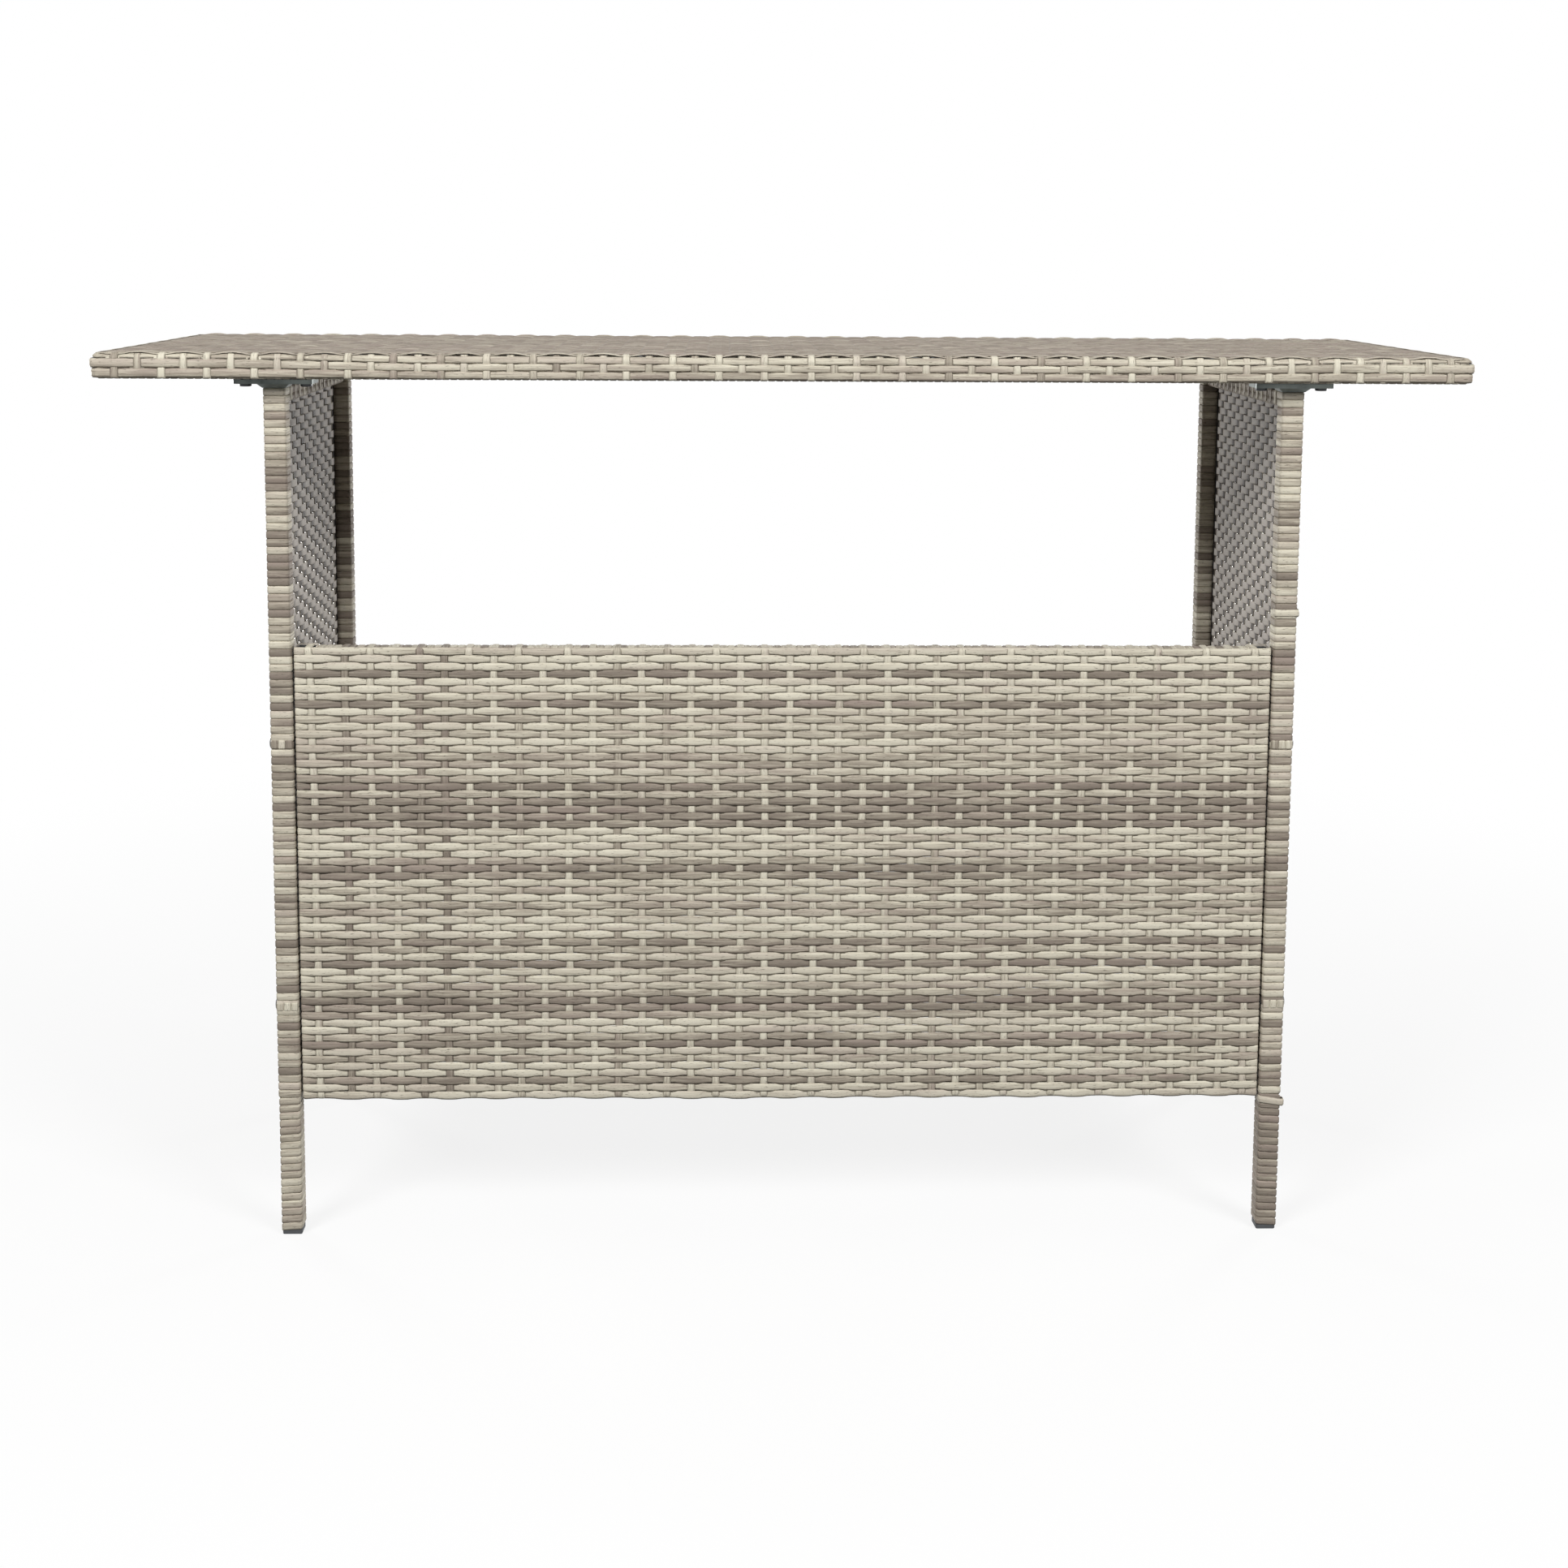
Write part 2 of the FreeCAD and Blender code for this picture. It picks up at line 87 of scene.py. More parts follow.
class Strips:
    """A family of strips that follow the same line, each lifted off it in its own way.

    axes are the two axes of the line's plane and the axis across the strips. The line runs so that
    the strips' good side lies on its right. lift, place, width, lean, plump and shade hold one value
    for each strip and point: height off the line, position across, width, how far the strip leans
    over, how much its section bulges, and the colour of its back, from 1 for plain grey to 2 for
    painted shade.
    """

    def __init__(self, axes, line, lift, place, width, tone,
                 lean=0.0, plump=1.0, shade=1.0, mirror=1.0):
        shape = (len(tone), len(line))
        self.axes = axes
        self.line = line
        self.lift = np.broadcast_to(lift, shape)
        self.place = np.broadcast_to(place, shape)
        self.width = np.broadcast_to(width, shape)
        self.lean = np.broadcast_to(lean, shape)
        self.plump = np.broadcast_to(plump, shape)
        self.shade = np.broadcast_to(shade, shape)
        self.tone = np.asarray(tone, float)
        self.seed = chance.uniform(0, seed_range, len(tone))
        self.mirror = mirror

    def corners(self):
        """The corners of every cross-section, as an array of strips, points, corners and axes."""
        a, b, w = self.axes
        tangent = np.gradient(self.line, axis=0)
        tangent /= np.linalg.norm(tangent, axis=1, keepdims=True)
        normal = np.stack([tangent[:, 1], -tangent[:, 0]], axis=1)
        across = section_across * self.width[..., None] / 2
        cos, sin = np.cos(self.lean)[..., None], np.sin(self.lean)[..., None]
        height = section_height * self.plump[..., None]
        rise = self.lift[..., None] + height * cos - across * sin
        found = np.zeros(self.lift.shape + (section_size, 3))
        found[..., a] = self.line[:, 0, None] + normal[:, 0, None] * rise
        found[..., b] = self.line[:, 1, None] + normal[:, 1, None] * rise
        found[..., w] = self.place[..., None] + across * cos + height * sin
        found[..., 0] *= self.mirror
        return found

    def turned(self):
        """Whether the axes or a mirror turn the faces inside out."""
        order = np.linalg.det(np.eye(3)[list(self.axes)])
        return order * self.mirror > 0

    def along(self):
        """How far each point lies along the line."""
        steps = np.linalg.norm(np.diff(self.line, axis=0), axis=1)
        return np.concatenate([[0.0], np.cumsum(steps)])

    def area(self):
        """About how much of a texture the family needs."""
        return len(self.tone) * self.along()[-1]

    def faces(self):
        """Corner numbers of the quads: the sides of each strip and then its two end caps."""
        count, points = self.lift.shape
        ring = np.arange(section_size)
        after = (ring + 1) % section_size
        here = np.arange(points - 1)[:, None] * section_size
        there = here + section_size
        sides = np.stack([here + ring, there + ring, there + after, here + after], axis=-1)
        first = np.array([[0, 1, 2, 3], [0, 3, 4, 5]])
        last = first[:, ::-1] + (points - 1) * section_size
        one = np.concatenate([sides.reshape(-1, 4), first, last])
        start = np.arange(count) * points * section_size
        return (start[:, None, None] + one).reshape(-1, 4)

    def texture_places(self, low, high):
        """A texture place for each face corner, with every strip in a cell of its own."""
        count, points = self.lift.shape
        columns = max(1, round(math.sqrt(strip_girth * count / self.along()[-1])))
        rows = math.ceil(count / columns)
        number = np.arange(count)
        cell_row = low + (high - low) * (number // columns) / rows
        start = np.stack([number % columns / columns, cell_row], axis=1)
        u = np.linspace(0.0, 1.0, points) / columns * (1 - row_margin)
        v = section_rows * (high - low) / rows * (1 - row_margin)
        u0, v0 = np.meshgrid(u[:-1], v[:-1], indexing="ij")
        u1, v1 = np.meshgrid(u[1:], v[1:], indexing="ij")
        sides = np.stack([u0, v0, u1, v0, u1, v1, u0, v1], axis=-1).reshape(-1, 4, 2)
        caps = np.zeros((4, 4, 2))
        one = np.concatenate([sides, caps])
        return (start[:, None, None, :] + one).reshape(-1, 4, 2)

    def strip_places(self):
        """Distance along, share across and seed of each mesh corner, for the material."""
        shape = self.lift.shape + (section_size,)
        along = np.broadcast_to(self.along()[None, :, None], shape)
        across = np.broadcast_to(section_across, shape)
        seed = np.broadcast_to(self.seed[:, None, None], shape)
        return np.stack([along, across, seed], axis=-1).reshape(-1, 3)

    def spread(self, values):
        """One value for each strip, or for each corner of a section, spread over all mesh corners."""
        shape = self.lift.shape + (section_size,)
        return np.broadcast_to(values, shape).ravel()

    def tones(self):
        """The tone of the strip at each mesh corner."""
        return self.spread(self.tone[:, None, None])

    def backs(self):
        """The colour of the back at each mesh corner, 0 on the good side and above 1 where shade is painted
        on.
        """
        return self.spread(section_back * self.shade[..., None])


def strip_mesh(name, families):
    """A mesh of families of strips, with a texture map and the values that the material reads."""
    quads, spots = [], []
    offset, low = 0, 0.0
    total = sum(family.area() for family in families)
    for family in families:
        high = low + family.area() / total
        order = slice(None, None, -1) if family.turned() else slice(None)
        quads.append(family.faces()[:, order] + offset)
        spots.append(family.texture_places(low, high)[:, order])
        offset += family.lift.size * section_size
        low = high
    quads = np.concatenate(quads)
    corners = np.concatenate([family.corners().reshape(-1, 3) for family in families]) * millimetre
    strip = np.concatenate([family.strip_places() for family in families])
    tone = np.concatenate([family.tones() for family in families])
    back = np.concatenate([family.backs() for family in families])

    mesh = bpy.data.meshes.new(name)
    mesh.vertices.add(len(corners))
    mesh.vertices.foreach_set("co", corners.ravel())
    mesh.loops.add(quads.size)
    mesh.loops.foreach_set("vertex_index", quads.ravel())
    mesh.polygons.add(len(quads))
    mesh.polygons.foreach_set("loop_start", np.arange(len(quads)) * 4)
    mesh.polygons.foreach_set("use_smooth", np.ones(len(quads), bool))
    mesh.uv_layers.new(name="OFBake").data.foreach_set("uv", np.concatenate(spots).ravel())
    mesh.attributes.new("strip", "FLOAT_VECTOR", "POINT").data.foreach_set("vector", strip.ravel())
    mesh.attributes.new("tone", "FLOAT", "POINT").data.foreach_set("value", tone)
    mesh.attributes.new("back", "FLOAT", "POINT").data.foreach_set("value", back)
    mesh.update(calc_edges=True)
    mesh.validate()
    return mesh


def strip_piece(name, families, replaced, material):
    """A piece made of families of strips, which stands for some CAD nodes."""
    mesh = strip_mesh(name, families)
    mesh.materials.append(material)
    piece = bpy.data.objects.new(name, mesh)
    bpy.context.collection.objects.link(piece)
    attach(piece, "root")
    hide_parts(*replaced)


# Lines and waves that the strips follow

arc_points = 5
wave_flatness = 1.6
drift_shares = (1.0, 0.45, 0.2)
drift_stretch = (0.7, 1.3)
row_waves = ((900.0, 23.0), (310.0, 11.0))  # length along a row, and rows until a wave repeats
places_beyond = 20


def straight(start, end, step):
    """Points after start on a straight run, up to its end."""
    count = max(1, round(np.linalg.norm(end - start) / step))
    return [start + (end - start) * share for share in np.linspace(0, 1, count + 1)[1:]]


def rounded_line(corners, radii, step):
    """Points about one step apart along a line through corners, whose inner corners are rounded.

    radii is one radius for all inner corners, or a list of one for each.
    """
    corners = np.array(corners, float)
    radii = np.broadcast_to(radii, len(corners) - 2)
    found = [corners[0]]
    for before, corner, after, radius in zip(corners[:-2], corners[1:-1], corners[2:], radii):
        back = (before - corner) / np.linalg.norm(before - corner)
        ahead = (after - corner) / np.linalg.norm(after - corner)
        inward = (back + ahead) / np.linalg.norm(back + ahead)
        half_angle = math.acos(np.clip(back @ ahead, -1, 1)) / 2
        start = corner + back * radius / math.tan(half_angle)
        end = corner + ahead * radius / math.tan(half_angle)
        centre = corner + inward * radius / math.sin(half_angle)
        found += straight(found[-1], start, step)
        for share in np.linspace(0, 1, arc_points)[1:]:
            spoke = start + (end - start) * share - centre
            found.append(centre + spoke / np.linalg.norm(spoke) * radius)
    found += straight(found[-1], corners[-1], step)
    return np.array(found)


def wave(phase):
    """1 where a strip lies over, at even phases, and -1 where it lies under, with flattened tops."""
    return np.tanh(wave_flatness * np.cos(np.pi * phase)) / math.tanh(wave_flatness)


def ramp(value, start, end):
    """0 before start, 1 after end and straight between them."""
    return np.clip((value - start) / (end - start), 0.0, 1.0)


def own_drift(count, positions, size, length):
    """Slow sideways drift of single strips: a few waves with random phases."""
    found = np.zeros((count, len(positions)))
    for share in drift_shares:
        turn = chance.uniform(0, 2 * np.pi, (count, 1))
        stretch = chance.uniform(*drift_stretch, (count, 1))
        found += size * share * np.sin(2 * np.pi * positions * stretch / (length * share) + turn)
    return found


def row_drift(count, positions, size):
    """Sideways drift of packed rows: slow waves that neighbours nearly share."""
    number = np.arange(count)[:, None]
    found = np.zeros((count, len(positions)))
    for length, rows in row_waves:
        turn = chance.uniform(0, 2 * np.pi)
        found += size * np.sin(2 * np.pi * (positions / length + number / rows) + turn)
    return found


def evenly(count, pitch):
    """Places with the same pitch, spread evenly about zero."""
    return (np.arange(count) - (count - 1) / 2) * pitch


def coordinate(value, places):
    """Where a value lies among places, counted in places, going on straight past both ends."""
    places = np.asarray(places)
    beyond = places_beyond * (places[1] - places[0])
    stretched = np.concatenate([[places[0] - beyond], places, [places[-1] + beyond]])
    last = len(places) - 1 + places_beyond
    numbers = np.concatenate([[-places_beyond], np.arange(len(places)), [last]])
    return np.interp(value, stretched, numbers)


# Tones: 0 is the lightest strip and 1 the darkest. Strips are light, middling or dark.

light_share = 0.52
middle_share = 0.24
tone_starts = np.array([0.05, 0.42, 0.74])
tone_ranges = np.array([0.2, 0.2, 0.24])


def tones_of(kinds):
    """A tone for each strip from its kind: 0 light, 1 middling and 2 dark."""
    kinds = np.asarray(kinds)
    spread = chance.random(len(kinds))
    return tone_starts[kinds] + tone_ranges[kinds] * spread


def random_tones(count):
    """Tones for a run of strips: mostly light, some middling and some dark."""
    pick = chance.random(count)
    return tones_of((pick > light_share).astype(int) + (pick > light_share + middle_share))


def chosen_tones(count, middle, dark):
    """Tones for strips that are light but for some chosen ones."""
    kinds = np.zeros(count, int)
    kinds[list(middle)] = 1
    kinds[list(dark)] = 2
    return tones_of(kinds)


# Weave sizes that the panel, the sides and the top share

half_weave = 2.0      # half the thickness of a woven sheet
near = 0.1            # how close to a plane a point counts as lying in it
row_overlap = 1.0
row_wander = 0.3
column_wander = 0.5
column_wave = 160.0
weave_steps = 5       # points along a weft from one warp to the next
warp_steps = 4        # points along a warp from one row to the next
short_step = 2.0
wrap_radius = 2.6
winding_pitch = 8.0
winding_step = 5.0
under_warps = 0.7     # how far a winding lies below the warps


def weft_shape(phase, fade, pitch, height, overlap, swell):
    """Lift and width of wefts, which lie over a warp and swell a little where the phase is even."""
    lift = height * wave(phase) * fade
    over = np.maximum(wave(phase), 0.0)
    width = pitch + row_overlap * (1 - fade) + fade * (overlap + swell * over)
    return lift, width


def winding(axes, ring, length, painted_shade_tone=0.0, mirror=1.0):
    """Turns of strip wound side by side round a bar whose section is a ring of corners; any painted shade
    darkens them.
    """
    turns = int(length / winding_pitch)
    line = rounded_line(ring, wrap_radius, winding_step)
    spots = evenly(turns, winding_pitch)[:, None]
    # The added tone darkens the turns as painted shade, where a caller gives one.
    tones = random_tones(turns) + painted_shade_tone
    return Strips(axes, line, 0.0, spots, winding_pitch + row_overlap, tones, mirror=mirror)


# Front panel. Its columns are placed from its left and right end, and its rows count from the top.

panel_rows = 61
panel_columns = 39
first_column = 18.8
second_column = 52.6
last_column = 17.2
first_column_bow = 4.0
bow_length = 60.0
panel_weft_lift = 1.2
panel_warp_lift = 0.5
panel_overlap = 0.2
panel_swell = 1.0
panel_tuck = 4.5              # how far the strips' ends reach in behind the face
panel_end_fade = (2.0, 12.0)
panel_rail_fade = (1.0, 4.0)
panel_rail_inset = 2.0        # how much smaller than a sleeve the line round a rail is
panel_winding_inset = 3.0
middle_rows = (9, 11, 14, 15, 17, 19, 28, 32, 34, 35, 40, 45, 46, 49, 52, 55)
dark_rows = (3, 7, 18, 20, 21, 22, 23, 29, 30, 39, 42, 47, 48, 53, 58)
middle_columns = (8, 12, 14, 25, 27)
dark_columns = (1, 4, 5)

panel_end = panel_high[0] - half_thickness
panel_front = panel_low[1] + half_weave
panel_back = stile_high[1] - half_thickness
panel_inner = stile_low[0] + half_thickness
panel_tucked = panel_front + panel_tuck
panel_top = panel_high[2] - half_thickness
panel_bottom = panel_low[2] + half_thickness
panel_rail = stile_high[0] - stile_low[0] - panel_rail_inset
panel_pitch = (panel_high[2] - panel_low[2]) / panel_rows
panel_heights = panel_high[2] - panel_pitch * (np.arange(panel_rows) + 0.5)
even_columns = np.linspace(panel_low[0] + second_column, panel_high[0] - last_column, panel_columns - 1)
panel_column_pitch = even_columns[1] - even_columns[0]
panel_places = np.concatenate([[panel_low[0] + first_column], even_columns])


def panel_wefts():
    """Rows of the panel, whose ends wind round the outer stiles."""
    corners = [(-panel_inner, panel_tucked), (-panel_inner, panel_back), (-panel_end, panel_back),
               (-panel_end, panel_front)]
    corners += [(-x, y) for x, y in reversed(corners)]
    line = rounded_line(corners, wrap_radius, panel_column_pitch / weave_steps)
    on_face = line[:, 1] < panel_front + near
    fade = ramp(panel_end - np.abs(line[:, 0]), *panel_end_fade) * on_face
    phase = coordinate(line[:, 0], panel_places) + np.arange(panel_rows)[:, None] + 1
    lift, width = weft_shape(phase, fade, panel_pitch, panel_weft_lift, panel_overlap, panel_swell)
    place = panel_heights[:, None] + row_drift(panel_rows, line[:, 0], row_wander)
    tones = chosen_tones(panel_rows, middle_rows, dark_rows)
    return Strips((0, 1, 2), line, lift, place, width, tones)


def panel_warps():
    """Columns of the panel, whose ends wind round its rails. The first one bows out at the top."""
    upper, lower = panel_top - panel_rail, panel_bottom + panel_rail
    corners = [(panel_tucked, upper), (panel_back, upper), (panel_back, panel_top),
               (panel_front, panel_top), (panel_front, panel_bottom), (panel_back, panel_bottom),
               (panel_back, lower), (panel_tucked, lower)]
    line = rounded_line(corners, wrap_radius, panel_pitch / warp_steps)
    on_face = line[:, 0] < panel_front + near
    above, below = line[:, 1] - panel_bottom, panel_top - line[:, 1]
    fade = ramp(above, *panel_rail_fade) * ramp(below, *panel_rail_fade) * on_face
    phase = coordinate(-line[:, 1], -panel_heights) + np.arange(panel_columns)[:, None]
    lift = panel_warp_lift * wave(phase) * fade
    place = panel_places[:, None] + own_drift(panel_columns, line[:, 1], column_wander, column_wave)
    place[0] -= first_column_bow * np.exp((line[:, 1] - panel_top) / bow_length)
    tones = chosen_tones(panel_columns, middle_columns, dark_columns)
    return Strips((1, 2, 0), line, lift, place, strip_width, tones)


def panel_windings():
    """The strip wound round the top and bottom rails, under the warps."""
    front, back = panel_front + panel_winding_inset, panel_back - under_warps
    families = []
    for rail_top in (panel_top, panel_bottom + panel_rail):
        high = rail_top - under_warps
        low = rail_top - panel_rail + under_warps
        ring = [(front, low), (back, low), (back, high), (front, high)]
        families.append(winding((1, 2, 0), ring, 2 * panel_inner))
    return families


def panel_pieces():
    """Pieces of the front panel: for each name its strips and the CAD nodes that it replaces."""
    wefts = [panel_wefts()]
    warps = [panel_warps()]
    warps += panel_windings()
    return {"panel_wefts": (wefts, ["panel_sheet", "panel_left_winding", "panel_right_winding"]),
            "panel_warps": (warps, ["panel_top_winding", "panel_bottom_winding"])}


# Side frames. The left one is the right one mirrored, with columns and tones of its own.

mirrors = {"left": -1.0, "right": 1.0}
side_columns = {"left": 15, "right": 18}
side_columns_spread = 366.0
leg_rows = 110
leg_darker = {"left": 0.2, "right": 0.14}
# The side rails' windings take darker tones: painted shade for the shade under the top.
rail_painted_shade = 0.5
side_weft_lift = 2.1
side_warp_lift = 0.2
side_overlap = 0.5
side_swell = 1.7
side_row_wander = 0.15
side_column_wander = 0.3
side_bend = 6.0               # length over which a strip slopes from the frame down to the sheet
side_fade = 8.0               # length over which a row leaves a leg, and as much again until it waves fully
weft_end_inset = 0.3
weft_return = 1.0
warp_tail = 3.0
painted_shade_range = (0.25, 0.5)    # how far over a warp a weft lies where painted shade darkens its back
# Back value of full painted shade, for weft backs in recesses and the side warps' backs.
painted_shade_back = 2.0
leg_plump = 1.35
leg_lift = -0.1
lower_leg_lift = -0.5
lower_leg_tone = {"left": 0.4, "right": 0.84}
lower_leg_range = 0.1

leg_outer = leg_high[0] - half_thickness
leg_inner = leg_low[0] + half_thickness
leg_middle = (leg_inner + leg_outer) / 2
leg_front = -leg_low[1] - half_thickness
leg_behind = -leg_high[1] + half_thickness
sheet_plane = sheet_high[0] - half_weave
sheet_bottom = low_rail_high[2]
sheet_top = high_rail_low[2]
rail_inside = low_rail_low[0] + half_thickness
leg_pitch = (leg_high[2] - leg_low[2]) / leg_rows
leg_heights = leg_low[2] + leg_pitch * (np.arange(leg_rows) + 0.5)
on_sheet_rows = (leg_heights > sheet_bottom) & (leg_heights < sheet_top)
woven_rows = np.flatnonzero(on_sheet_rows)
bare_rows = np.flatnonzero(~on_sheet_rows)


def side_wefts(side, tones):
    """Rows of one side sheet, each of which also goes once round both legs."""
    column_pitch = side_columns_spread / side_columns[side]
    columns = evenly(side_columns[side], column_pitch)
    bend_start = weft_return - leg_behind
    corners = [(sheet_plane - weft_end_inset, -leg_behind), (leg_inner, -leg_behind),
               (leg_inner, -leg_front), (leg_outer, -leg_front), (leg_outer, bend_start),
               (sheet_plane, bend_start + side_bend)]
    corners += [(x, -y) for x, y in reversed(corners)]
    line = rounded_line(corners, wrap_radius, column_pitch / weave_steps)
    past_leg = leg_behind - np.abs(line[:, 1])
    on_sheet = ramp(past_leg, 0.0, side_fade)
    fade = ramp(past_leg, side_fade, 2 * side_fade) * (line[:, 0] > sheet_plane - near)
    phase = coordinate(line[:, 1], columns) + woven_rows[:, None] + 1
    lift, width = weft_shape(phase, fade, leg_pitch, side_weft_lift, side_overlap, side_swell)
    lift = lift + leg_lift * (1 - on_sheet)
    plump = leg_plump + (1 - leg_plump) * on_sheet
    # Painted shade on each weft's back where it lies over a warp, standing in for the dark recess between
    # rows.
    painted_recess_shade = 1 + ramp(wave(phase) * fade, *painted_shade_range)
    place = leg_heights[woven_rows, None] + row_drift(len(woven_rows), line[:, 1], side_row_wander)
    return Strips((0, 1, 2), line, lift, place, width, tones[woven_rows],
                  plump=plump, shade=painted_recess_shade, mirror=mirrors[side])


def side_warps(side):
    """Columns of one side sheet, whose ends wind round its rails."""
    count = side_columns[side]
    columns = evenly(count, side_columns_spread / count)
    low, high = low_rail_low[2] + half_thickness, high_rail_high[2] - half_thickness
    corners = [(rail_inside, sheet_bottom - warp_tail), (rail_inside, low), (leg_outer, low),
               (leg_outer, sheet_bottom), (sheet_plane, sheet_bottom + side_bend),
               (sheet_plane, sheet_top - side_bend), (leg_outer, sheet_top), (leg_outer, high),
               (rail_inside, high), (rail_inside, sheet_top + warp_tail)]
    line = rounded_line(corners, wrap_radius, leg_pitch / warp_steps)
    above, below = line[:, 1] - sheet_bottom, sheet_top - line[:, 1]
    fade = ramp(above, 0.0, side_bend) * ramp(below, 0.0, side_bend)
    crossing = coordinate(line[:, 1], leg_heights[woven_rows]) + woven_rows[0]
    lift = side_warp_lift * wave(crossing + np.arange(count)[:, None]) * fade
    place = columns[:, None] + own_drift(count, line[:, 1], side_column_wander, column_wave)
    tones = random_tones(count)
    # The side warps' backs are painted dark: painted shade.
    return Strips((0, 2, 1), line, lift, place, strip_width, tones,
                  shade=painted_shade_back, mirror=mirrors[side])


def rail_windings(side):
    """The strip wound round the top and bottom rails of one side frame, under the warps."""
    inset = half_thickness + under_warps
    left, right = low_rail_low[0] + inset, leg_outer - under_warps
    families = []
    for rail_low, rail_high in ((low_rail_low, low_rail_high), (high_rail_low, high_rail_high)):
        low, high = rail_low[2] + inset, rail_high[2] - inset
        middle = (low + high) / 2
        ring = [(left, middle), (left, low), (right, low), (right, high), (left, high), (left, middle)]
        families.append(winding((0, 2, 1), ring, 2 * leg_behind, rail_painted_shade, mirrors[side]))
    return families


def leg_windings(side, tones):
    """Turns of strip round both legs where they carry no sheet, rising in a spiral near the floor."""
    heights = leg_heights[bare_rows, None]
    lower = heights < low_rail_low[2]
    lower_tones = lower_leg_tone[side] + lower_leg_range * tones[bare_rows]
    tones = np.where(lower[:, 0], lower_tones, tones[bare_rows])
    lift = np.where(lower, lower_leg_lift, leg_lift)
    families = []
    for end in (-1, 1):
        seam, face = end * leg_behind, end * leg_front
        ring = [(leg_middle, seam), (leg_inner, seam), (leg_inner, face),
                (leg_outer, face), (leg_outer, seam), (leg_middle, seam)]
        line = rounded_line(ring[::-end], wrap_radius, winding_step)
        spiral = -end * leg_pitch * np.linspace(0.5, -0.5, len(line))
        place = heights + lower * spiral
        families.append(Strips((0, 1, 2), line, lift, place, leg_pitch + row_overlap, tones,
                               plump=leg_plump, mirror=mirrors[side]))
    return families


# Patches of short upright strips on the front legs, at the height of the bolts of the panel

patch_inset = 102.0           # how far the bolts lie from the panel's top and bottom
patch_heights = (panel_high[2] - patch_inset, panel_low[2] + patch_inset)
patch_tones = {"left": ((0.95, 0.2, 0.8), (0.2, 0.12, 0.2)),
               "right": ((0.8, 0.3, 0.2), (0.2, 0.12, 0.2))}
patch_pitch = 7.4
patch_half_height = 4.2
patch_rise = 0.9
patch_fold = 2.0
patch_radius = 1.0


def bolt_patches(side):
    """Short upright strips across the front of the leg, where the bolts of the panel go through."""
    face = -leg_front - patch_rise
    folded = face + patch_fold
    families = []
    for height, tones in zip(patch_heights, patch_tones[side]):
        low, high = height - patch_half_height, height + patch_half_height
        corners = [(folded, high), (face, high), (face, low), (folded, low)]
        line = rounded_line(corners, patch_radius, short_step)
        spots = leg_middle + evenly(len(tones), patch_pitch)
        families.append(Strips((1, 2, 0), line, 0.0, spots[:, None], strip_width, tones,
                               mirror=mirrors[side]))
    return families


# Loose ends of strip on the right front leg: height, how far each one bulges out, and its slope

loose_ends = ((146.0, 3.6, -3.5), (672.0, 2.2, 0.0))
loose_rise = 0.8
loose_depth = 9.0
loose_bulge_depth = 6.0
loose_end_inset = 1.0
loose_radius = 2.4
loose_tone = 0.1


def loose_strip_ends():
    """Ends of strip that start on the leg's inner side and bulge out at its outer edge."""
    inner, face = leg_inner - loose_rise, -leg_front - loose_rise
    back = -leg_front + loose_depth
    families = []
    for height, bulge, slope in loose_ends:
        bulged = leg_outer + bulge
        corners = [(inner, back), (inner, face), (bulged, face),
                   (bulged, -leg_front + loose_bulge_depth), (leg_outer - loose_end_inset, back)]
        line = rounded_line(corners, loose_radius, short_step)
        place = height + slope * ramp(line[:, 0], leg_inner, leg_outer)
        families.append(Strips((0, 1, 2), line, 0.0, place, strip_width, [loose_tone]))
    return families


def side_pieces(side):
    """Pieces of one side frame. Only the right one has loose ends of strip."""
    tones = random_tones(leg_rows) + leg_darker[side]
    wefts = [side_wefts(side, tones)]
    warps = [side_warps(side)]
    warps += rail_windings(side)
    legs = leg_windings(side, tones)
    legs += bolt_patches(side)
    if side == "right":
        legs += loose_strip_ends()
    rails = [side + "_top_rail_winding", side + "_bottom_rail_winding"]
    return {side + "_side_wefts": (wefts, [side + "_sheet"]),
            side + "_side_warps": (warps, rails),
            side + "_leg_windings": (legs, [side + "_front_leg_winding", side + "_rear_leg_winding"])}


# Top: its rows run along it, and its columns across it

top_rows = 58
top_row_pitch = 8.0
top_columns = 59
top_column_pitch = 23.26
top_weave_steps = 4
top_warp_step = 2.1
top_weft_lift = 0.8
top_overlap = 0.7
top_swell = 1.2
top_warp_lift = 0.55
front_lift = 0.2
outer_row_lift = 0.7
end_inset = 2.7
edge_inset = 1.2
inside_inset = 2.0
end_radius = 10.0
end_fade = (6.0, 18.0)
end_tuck = 0.9
end_narrowing = 2.5
turn_lift = 1.3
turn_wave = 1.0
edge_step = 3                 # at the short ends every third row goes over and under the edge rows
front_radius = 5.0
front_fade = (4.0, 9.0)
fold_radius = 1.8
corner_radius = 7.0
# The top's rows take darker tones: partly the strips' own tones, partly painted shade for the less light on
# the top face.
top_tone_start_with_painted_shade = 0.74
top_tone_range = 0.26
top_warp_tone_range = 0.7
outer_tone = 0.5

top_end = top_high[0] - end_inset
top_edge_end = top_high[0] - edge_inset
top_front = top_high[1] - edge_inset
top_level = top_high[2] - half_weave
top_under = edge_low[2] + half_thickness
top_inside_end = end_edge_low[0] + inside_inset
top_inside_front = -edge_high[1] + inside_inset
top_row_places = evenly(top_rows, top_row_pitch)
top_column_places = evenly(top_columns, top_column_pitch)

# Rows round the edge of the top, which rise and spread towards the ends of the table

